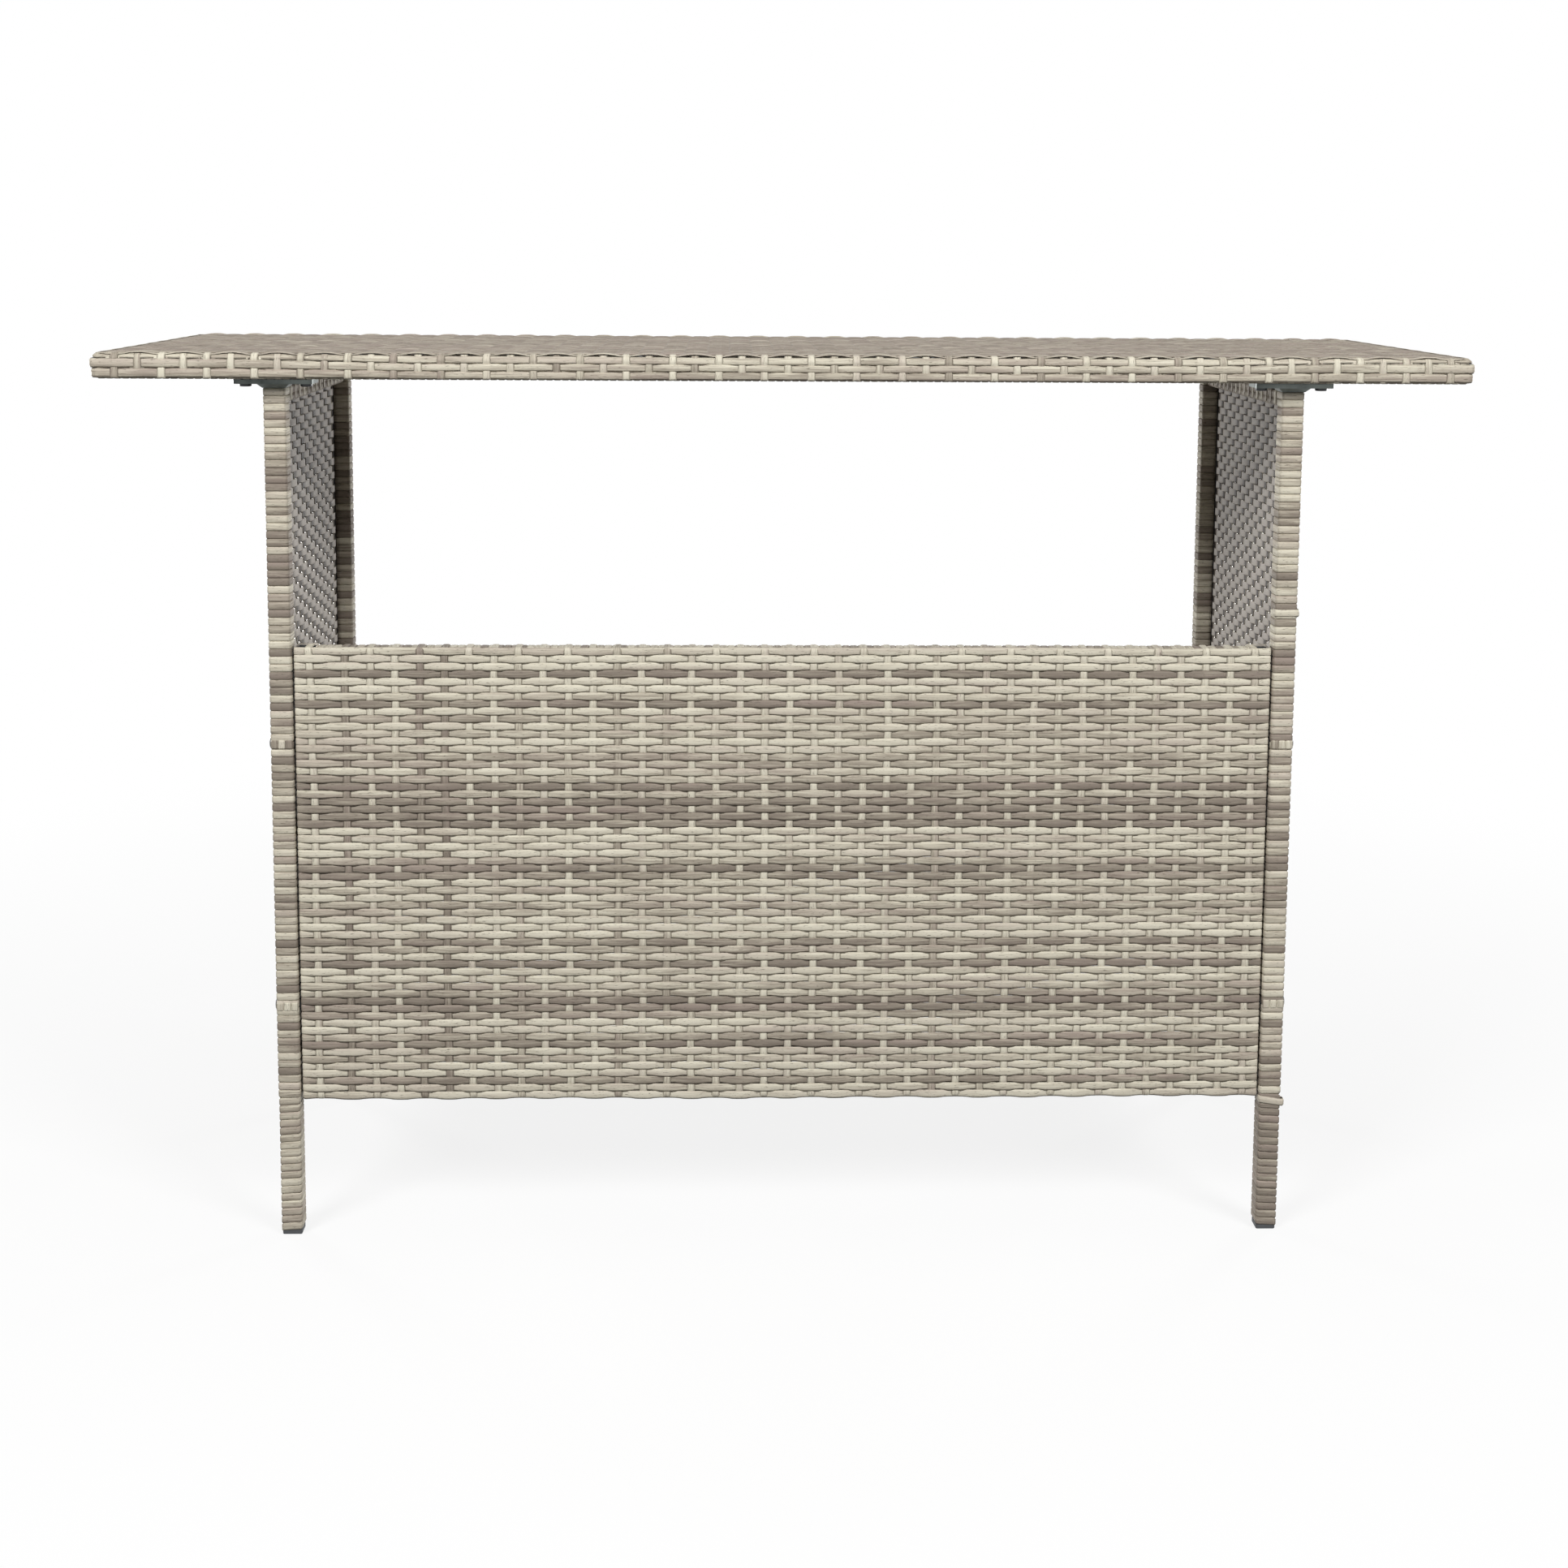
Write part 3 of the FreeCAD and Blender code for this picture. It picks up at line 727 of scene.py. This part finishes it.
edge_depths = np.array([22.6, 14.7, 7.2])  # how far the middles of the rows lie below the top
edge_heights = top_high[2] - edge_depths
edge_rises = np.array([1.0, 2.6, 3.6])
edge_spread = 1.6
rise_start = 380.0
rise_end = 560.0
high_row_lean = (14.0, 52.0)
high_row_drop = (0.6, 3.4)
edge_lift = 0.75
edge_plump = 1.5
edge_wander = 0.25
edge_wave = 500.0
edge_tone_range = 0.4
edge_darker = 0.3
rim_shell_inset = 1.6
rim_core_inset = 1.4
rim_low_inset = 0.4
rim_high_inset = 2.4


def top_wefts():
    """Rows along the top, which also wind the rims of the short sides."""
    corners = [(top_inside_end, top_under), (top_end, top_under), (top_end, top_level)]
    corners += [(-x, z) for x, z in reversed(corners)]
    radii = [fold_radius, end_radius, end_radius, fold_radius]
    line = rounded_line(corners, radii, top_column_pitch / top_weave_steps)
    reach = np.abs(line[:, 0])
    number = np.arange(top_rows)[:, None]
    fade = ramp(top_end - reach, *end_fade) * (line[:, 1] > top_level - near)
    phase = coordinate(line[:, 0], top_column_places) + number + 1
    lift, width = weft_shape(phase, fade, top_row_pitch, top_weft_lift, top_overlap, top_swell)

    over_edge = (number % edge_step == 1) * (reach > top_end - near)
    turn = coordinate(line[:, 1], edge_heights + edge_rises) + number // edge_step
    lift = lift + over_edge * (turn_lift + turn_wave * wave(turn))

    outermost = (number == 0) | (number == top_rows - 1)
    at_end = outermost * ramp(reach, top_end - end_radius, top_end)
    lift = lift + outermost * fade * outer_row_lift * (1 + wave(phase)) / 2
    lift = lift - end_tuck * at_end
    narrowing = np.sign(top_row_places)[:, None] * end_narrowing * at_end
    place = top_row_places[:, None] + row_drift(top_rows, line[:, 0], row_wander) - narrowing
    tones = top_tone_start_with_painted_shade + top_tone_range * random_tones(top_rows)
    tones[[0, -1]] = outer_tone
    return Strips((0, 2, 1), line, lift, place, width, tones)


def top_warps():
    """Columns across the top, folded down over both long edges and woven with the edge rows."""
    corners = [(top_inside_front, top_under), (top_front, top_under), (top_front, top_level)]
    corners += [(-y, z) for y, z in reversed(corners)]
    radii = [fold_radius, front_radius, front_radius, fold_radius]
    line = rounded_line(corners, radii, top_warp_step)
    reach = np.abs(line[:, 0])
    on_top = line[:, 1] > top_level - near
    on_front = reach > top_front - near
    rise = ramp(np.abs(top_column_places)[:, None], rise_start, rise_end)
    edges = edge_heights + edge_rises * rise
    on_edge = np.array([coordinate(line[:, 1], heights) for heights in edges])
    crossing = np.where(on_top, coordinate(line[:, 0], top_row_places), on_edge)
    fade = np.where(on_top, ramp(top_front - reach, *front_fade), 1.0 * on_front)
    over = wave(crossing + np.arange(top_columns)[:, None])
    lift = top_warp_lift * over * fade + front_lift * on_front
    place = top_column_places[:, None] + own_drift(top_columns, line[:, 0], column_wander, column_wave)
    tones = random_tones(top_columns) * top_warp_tone_range
    return Strips((1, 2, 0), line, lift, place, strip_width, tones)


def edge_rows():
    """Three rows round the edge; the highest leans in over the corner, more so towards the ends."""
    corners = [(0, top_front), (-top_edge_end, top_front), (-top_edge_end, -top_front),
               (top_edge_end, -top_front), (top_edge_end, top_front), (0, top_front)]
    line = rounded_line(corners, corner_radius, top_column_pitch / weave_steps)
    on_long_side = np.abs(line[:, 1]) > top_front - near
    along_end = coordinate(line[:, 1], top_row_places) / edge_step
    crossing = np.where(on_long_side, coordinate(line[:, 0], top_column_places), along_end)
    rise = ramp(np.abs(line[:, 0]), rise_start, rise_end)
    families = []
    for number, (height, lifted) in enumerate(zip(edge_heights, edge_rises)):
        highest = number == len(edge_heights) - 1
        lean = np.radians(np.interp(rise, (0, 1), high_row_lean)) * highest
        drop = np.interp(rise, (0, 1), high_row_drop) * highest
        lift = edge_lift * wave(crossing + number + 1) - drop
        place = height + lifted * rise + own_drift(1, line[:, 0], edge_wander, edge_wave)
        width = strip_width + edge_spread * rise * (not highest)
        tone = random_tones(1) * edge_tone_range + edge_darker
        families.append(Strips((0, 1, 2), line, lift, place, width, tone, lean, edge_plump))
    return families


def rim_windings():
    """The strip wound round the front and rear rims, under the warps and the edge rows."""
    shell, core = top_front - rim_shell_inset, top_inside_front - rim_core_inset
    low, high = top_under - rim_low_inset, top_level - rim_high_inset
    middle = (shell + core) / 2
    ring = [(middle, high), (core, high), (core, low), (shell, low), (shell, high), (middle, high)]
    families = []
    for end in (-1, 1):
        turned = [(end * y, z) for y, z in ring]
        families.append(winding((1, 2, 0), turned[::end], 2 * top_end - corner_radius))
    return families


def top_pieces():
    """Pieces of the top."""
    wefts = [top_wefts()]
    warps = [top_warps()]
    edges = edge_rows()
    edges += rim_windings()
    return {"top_wefts": (wefts, ["top_sheet", "top_edge_left", "top_edge_right"]),
            "top_warps": (warps, ["top_sheet"]),
            "top_edge_rows": (edges, ["top_edge_front", "top_edge_rear"])}


# Shader nodes

whole = (0.0, 1.0)


def linear(code):
    """A colour written as six hexadecimal digits, as a linear colour by the sRGB formula."""
    parts = [int(code[i:i + 2], 16) / 255 for i in (0, 2, 4)]
    return [c / 12.92 if c <= 0.04045 else ((c + 0.055) / 1.055) ** 2.4 for c in parts] + [1.0]


def grey(value):
    """A grey as a linear colour."""
    return (value, value, value, 1.0)


def add(tree, kind, inputs=None, **settings):
    """A shader node with its settings and inputs; an input that is a socket is linked."""
    made = tree.nodes.new(kind)
    for name, value in settings.items():
        setattr(made, name, value)
    for name, value in (inputs or {}).items():
        if isinstance(value, bpy.types.NodeSocket):
            tree.links.new(value, made.inputs[name])
        else:
            made.inputs[name].default_value = value
    return made


def new_material(name):
    """An empty node material and its tree."""
    material = bpy.data.materials.new(name)
    material.use_nodes = True
    material.node_tree.nodes.clear()
    return material, material.node_tree


def finish_material(tree, shader):
    """Send a shader to the material's output."""
    output = tree.nodes.new("ShaderNodeOutputMaterial")
    tree.links.new(shader.outputs[0], output.inputs["Surface"])


def ramp_node(tree, factor, stops):
    """A colour ramp through stops, each of which is a place and a colour's six digits."""
    made = add(tree, "ShaderNodeValToRGB", {"Fac": factor})
    elements = made.color_ramp.elements
    while len(elements) < len(stops):
        elements.new(0.5)
    for element, (place, code) in zip(elements, stops):
        element.position = place
        element.color = linear(code)
    return made.outputs["Color"]


def math_node(tree, operation, first, second):
    """The result of one sum on sockets or numbers."""
    return add(tree, "ShaderNodeMath", {0: first, 1: second}, operation=operation).outputs[0]


def mapped(tree, value, from_range, to_range):
    """A value carried from one range to another, held at its ends."""
    made = add(tree, "ShaderNodeMapRange", {
        "Value": value, "From Min": from_range[0], "From Max": from_range[1],
        "To Min": to_range[0], "To Max": to_range[1]})
    return made.outputs["Result"]


def mixed(tree, factor, first, second):
    """Two colours mixed by a factor; the node's sockets 6 and 7 take colours and its output 2 gives one."""
    made = add(tree, "ShaderNodeMix", {0: factor, 6: first, 7: second}, data_type="RGBA")
    return made.outputs[2]


# Wicker: colours by tone, and noises, each with its stretch along, across and between strips and its detail

strip_colours = ((0.0, "d8d2c0"), (0.3, "c9c2b0"), (0.62, "a69d8e"), (1.0, "857b70"))
back_colours = ((0.3, "a39c94"), (0.7, "b4ada5"))
# Colour of the painted shade on the strips' backs.
painted_shade_colour = "3a3430"
blush_colour = "a8978f"
fleck_colour = "564d43"
drift_noise = ((0.006, 0.0, 13.0), 1.0)
streak_noise = ((0.03, 2.2, 29.0), 4.0)
fleck_noise = ((0.16, 6.5, 71.0), 2.0)
ridge_noise = ((0.02, 7.0, 41.0), 2.0)
blush_noise = ((0.004, 0.3, 7.0), 1.0)
noise_roughness = 0.6
noise_range = (0.3, 0.7)
streak_range = (0.25, 0.75)
drift_tones = (-0.2, 0.2)
streak_tones = (-0.36, 0.36)
ridge_tones = (-0.14, 0.14)
blush_range = (0.48, 0.72)
blush_shares = (0.0, 0.45)
fleck_range = (0.62, 0.7)
fleck_shares = (0.0, 0.75)
fleck_depth = 0.5
strip_roughness = (0.4, 0.56)
strip_gloss = 0.12
strip_bump = 0.35
strip_bump_height = 0.0004


def strip_noise(tree, strip, stretch, detail):
    """Noise in a strip's own coordinates: along it, across it and from strip to strip."""
    scaled = add(tree, "ShaderNodeVectorMath", {0: strip, 1: stretch}, operation="MULTIPLY")
    made = add(tree, "ShaderNodeTexNoise", {
        "Vector": scaled.outputs[0], "Scale": 1.0, "Detail": detail, "Roughness": noise_roughness})
    return made.outputs["Fac"]


def wicker_material():
    """Flat plastic strip in beige to grey-brown, with streaks and dark flecks, and a plain grey back with
    painted shade.
    """
    material, tree = new_material("wicker")
    strip = add(tree, "ShaderNodeAttribute", attribute_name="strip").outputs["Vector"]
    tone = add(tree, "ShaderNodeAttribute", attribute_name="tone").outputs["Fac"]
    back = add(tree, "ShaderNodeAttribute", attribute_name="back").outputs["Fac"]
    drift = strip_noise(tree, strip, *drift_noise)
    streak = strip_noise(tree, strip, *streak_noise)
    fleck = strip_noise(tree, strip, *fleck_noise)
    ridge = strip_noise(tree, strip, *ridge_noise)
    blush = strip_noise(tree, strip, *blush_noise)

    drifted = math_node(tree, "ADD", tone, mapped(tree, drift, noise_range, drift_tones))
    streaked = math_node(tree, "ADD", drifted, mapped(tree, streak, streak_range, streak_tones))
    shade = math_node(tree, "ADD", streaked, mapped(tree, ridge, noise_range, ridge_tones))
    colour = ramp_node(tree, shade, strip_colours)
    blushes = mapped(tree, blush, blush_range, blush_shares)
    colour = mixed(tree, blushes, colour, linear(blush_colour))
    flecks = mapped(tree, fleck, fleck_range, fleck_shares)
    colour = mixed(tree, flecks, colour, linear(fleck_colour))
    plain = ramp_node(tree, streak, back_colours)
    # Painted shade: the back turns from plain grey to the dark shade colour as its value goes from 1 to 2.
    plain = mixed(tree, mapped(tree, back, (1.0, painted_shade_back), whole), plain, linear(painted_shade_colour))
    colour = mixed(tree, mapped(tree, back, whole, whole), colour, plain)

    rough = mapped(tree, streak, noise_range, strip_roughness)
    height = math_node(tree, "ADD", ridge, math_node(tree, "MULTIPLY", flecks, -fleck_depth))
    bump = add(tree, "ShaderNodeBump", {
        "Strength": strip_bump, "Distance": strip_bump_height, "Height": height})
    shader = add(tree, "ShaderNodeBsdfPrincipled", {
        "Base Color": colour, "Roughness": rough, "Specular IOR Level": strip_gloss,
        "Normal": bump.outputs[0]})
    finish_material(tree, shader)
    return material


# Coats of the CAD nodes: dark and pale colour, least and most roughness, grain, and how metallic each is

coats = {
    "frame_steel": ("3a3b3d", "4a4c4f", 0.38, 0.5, 900.0, 0.0),
    "plate_steel": ("404644", "808783", 0.3, 0.45, 900.0, 0.6),
    "shelf_steel": ("3a3b3d", "4a4c4f", 0.38, 0.5, 900.0, 0.0),
    "bolt_steel": ("1f2124", "34383c", 0.25, 0.4, 1500.0, 0.0),
    "nut_steel": ("8c8f92", "b4b6b8", 0.25, 0.4, 1500.0, 1.0),
    "foot_plastic": ("3c3d40", "4b4d50", 0.5, 0.65, 700.0, 0.0),
    "spacer_plastic": ("141516", "232426", 0.45, 0.6, 700.0, 0.0),
}
coat_endings = {
    "_plate": "plate_steel",
    "_foot": "foot_plastic",
    "_shelf": "shelf_steel",
    "_bolts": "bolt_steel",
    "_spacers": "spacer_plastic",
    "_nuts": "nut_steel",
}
cloud_scale = 38.0
cloud_detail = 3.0
dark_place = 0.3
pale_place = 0.72
peel_detail = 2.0
coat_bump = 0.25
coat_bump_height = 0.0003


def object_noise(tree, place, scale, detail):
    """Noise in an object's own coordinates."""
    made = add(tree, "ShaderNodeTexNoise", {"Vector": place, "Scale": scale, "Detail": detail})
    return made.outputs["Fac"]


def coated_material(name, dark, pale, rough_low, rough_high, grain, metallic):
    """A powder coat or moulded plastic: mottled colour, uneven gloss and a fine orange-peel surface."""
    material, tree = new_material(name)
    place = add(tree, "ShaderNodeTexCoord").outputs["Object"]
    cloud = object_noise(tree, place, cloud_scale, cloud_detail)
    peel = object_noise(tree, place, grain, peel_detail)
    colour = ramp_node(tree, cloud, ((dark_place, dark), (pale_place, pale)))
    rough = mapped(tree, cloud, noise_range, (rough_low, rough_high))
    bump = add(tree, "ShaderNodeBump", {
        "Strength": coat_bump, "Distance": coat_bump_height, "Height": peel})
    shader = add(tree, "ShaderNodeBsdfPrincipled", {
        "Base Color": colour, "Roughness": rough, "Metallic": metallic, "Normal": bump.outputs[0]})
    finish_material(tree, shader)
    return material


def dress_nodes():
    """Materials for the CAD nodes that keep their meshes, chosen by the ending of their names."""
    made = {name: coated_material(name, *coat) for name, coat in coats.items()}
    for name, piece in nodes.items():
        chosen = [coat for ending, coat in coat_endings.items() if name.endswith(ending)] or ["frame_steel"]
        piece.data.materials.clear()
        piece.data.materials.append(made[chosen[0]])


# Floor and background, which look white to the camera and give the table less light

floor_half = 30.0
floor_grey = 0.14
floor_white = 0.9
shadow_reach = (0.7, 2.2)
floor_glow = (0.84, 1.0)
even_light = 0.025


def seen_rays(tree):
    """1 for rays from the camera, also by way of gloss or glass, and 0 for the light on the table."""
    path = add(tree, "ShaderNodeLightPath")
    first = math_node(tree, "MAXIMUM", path.outputs["Is Camera Ray"], path.outputs["Is Glossy Ray"])
    return math_node(tree, "MAXIMUM", first, path.outputs["Is Transmission Ray"])


def stage_floor():
    """A pale floor that keeps a soft shadow of the table."""
    material, tree = new_material("floor")
    seen = seen_rays(tree)
    paint = mixed(tree, seen, grey(floor_grey), grey(floor_white))
    diffuse = add(tree, "ShaderNodeBsdfDiffuse", {"Color": paint})
    glow = add(tree, "ShaderNodeEmission", {"Color": grey(1.0), "Strength": 1.0})
    place = add(tree, "ShaderNodeTexCoord").outputs["Object"]
    distance = add(tree, "ShaderNodeVectorMath", {0: place}, operation="LENGTH").outputs["Value"]
    share = math_node(tree, "MULTIPLY", seen, mapped(tree, distance, shadow_reach, floor_glow))
    both = add(tree, "ShaderNodeMixShader", {0: share, 1: diffuse.outputs[0], 2: glow.outputs[0]})
    finish_material(tree, both)
    corners = [(-floor_half, -floor_half, 0), (floor_half, -floor_half, 0),
               (floor_half, floor_half, 0), (-floor_half, floor_half, 0)]
    mesh = bpy.data.meshes.new("floor")
    mesh.from_pydata(corners, [], [(0, 1, 2, 3)])
    mesh.materials.append(material)
    floor = bpy.data.objects.new("floor", mesh)
    bpy.context.collection.objects.link(floor)


def white_world():
    """A white background, with weaker even light on the table."""
    world = bpy.data.worlds.new("studio")
    world.use_nodes = True
    tree = world.node_tree
    tree.nodes.clear()
    light = add(tree, "ShaderNodeBackground", {"Color": grey(1.0), "Strength": even_light})
    white = add(tree, "ShaderNodeBackground", {"Color": grey(1.0), "Strength": 1.0})
    both = add(tree, "ShaderNodeMixShader", {0: seen_rays(tree), 1: light.outputs[0], 2: white.outputs[0]})
    output = tree.nodes.new("ShaderNodeOutputWorld")
    tree.links.new(both.outputs[0], output.inputs["Surface"])
    bpy.context.scene.world = world


# Lamps: place, size and power in watts. All of them point at about the middle of the table.

lamp_target = (0.0, 0.0, 0.5)
lamps = {
    "key": ((-2.3, -3.2, 3.1), 1.6, 156.0),
    "fill": ((2.5, -3.1, 3.0), 1.6, 136.0),
    "overhead": ((0.0, 0.4, 3.4), 1.8, 8.0),
    "rear_left": ((-2.6, 2.6, 0.55), 0.9, 66.0),
    "rear_right": ((2.6, 2.6, 0.55), 0.9, 66.0),
}


def soft_lamp(name, place, size, power):
    """A large square lamp that points at the table."""
    data = bpy.data.lights.new(name, "AREA")
    data.size = size
    data.energy = power
    lamp = bpy.data.objects.new(name, data)
    lamp.location = place
    lamp.rotation_euler = (Vector(lamp_target) - Vector(place)).to_track_quat("-Z", "Y").to_euler()
    bpy.context.collection.objects.link(lamp)


# Camera: its place in millimetres, its angles in degrees and its lens

camera_place = (-64.2, -2515.1, 1049.3)
camera_yaw = 1.54
camera_pitch = 7.123
camera_roll = 0.345
camera_lens = 51.934
camera_sensor = 36.0
camera_shift = -0.1636
camera_reach = 100.0          # in metres


def photo_camera():
    """The camera at the photograph's place, a little above the top and left of its middle."""
    yaw, pitch, roll = (math.radians(angle) for angle in (camera_yaw, camera_pitch, camera_roll))
    forward = Vector((math.sin(yaw) * math.cos(pitch), math.cos(yaw) * math.cos(pitch), -math.sin(pitch)))
    level = Vector((math.cos(yaw), -math.sin(yaw), 0.0))
    upright = level.cross(forward)
    right = math.cos(roll) * level + math.sin(roll) * upright
    up = -math.sin(roll) * level + math.cos(roll) * upright
    data = bpy.data.cameras.new("camera")
    data.sensor_width = camera_sensor
    data.lens = camera_lens
    data.shift_y = camera_shift
    data.clip_end = camera_reach
    camera = bpy.data.objects.new("camera", data)
    turned = Matrix((right, up, -forward)).transposed().to_4x4()
    camera.matrix_world = Matrix.Translation(Vector(camera_place) * millimetre) @ turned
    bpy.context.collection.objects.link(camera)
    bpy.context.scene.camera = camera


# The table and its studio

wicker = wicker_material()
for pieces in (panel_pieces(), side_pieces("left"), side_pieces("right"), top_pieces()):
    for piece_name, (families, replaced) in pieces.items():
        strip_piece(piece_name, families, replaced, wicker)
dress_nodes()

stage_floor()
white_world()
for lamp_name, (lamp_place, lamp_size, lamp_power) in lamps.items():
    soft_lamp(lamp_name, lamp_place, lamp_size, lamp_power)
photo_camera()
bpy.context.scene.view_settings.view_transform = "Standard"
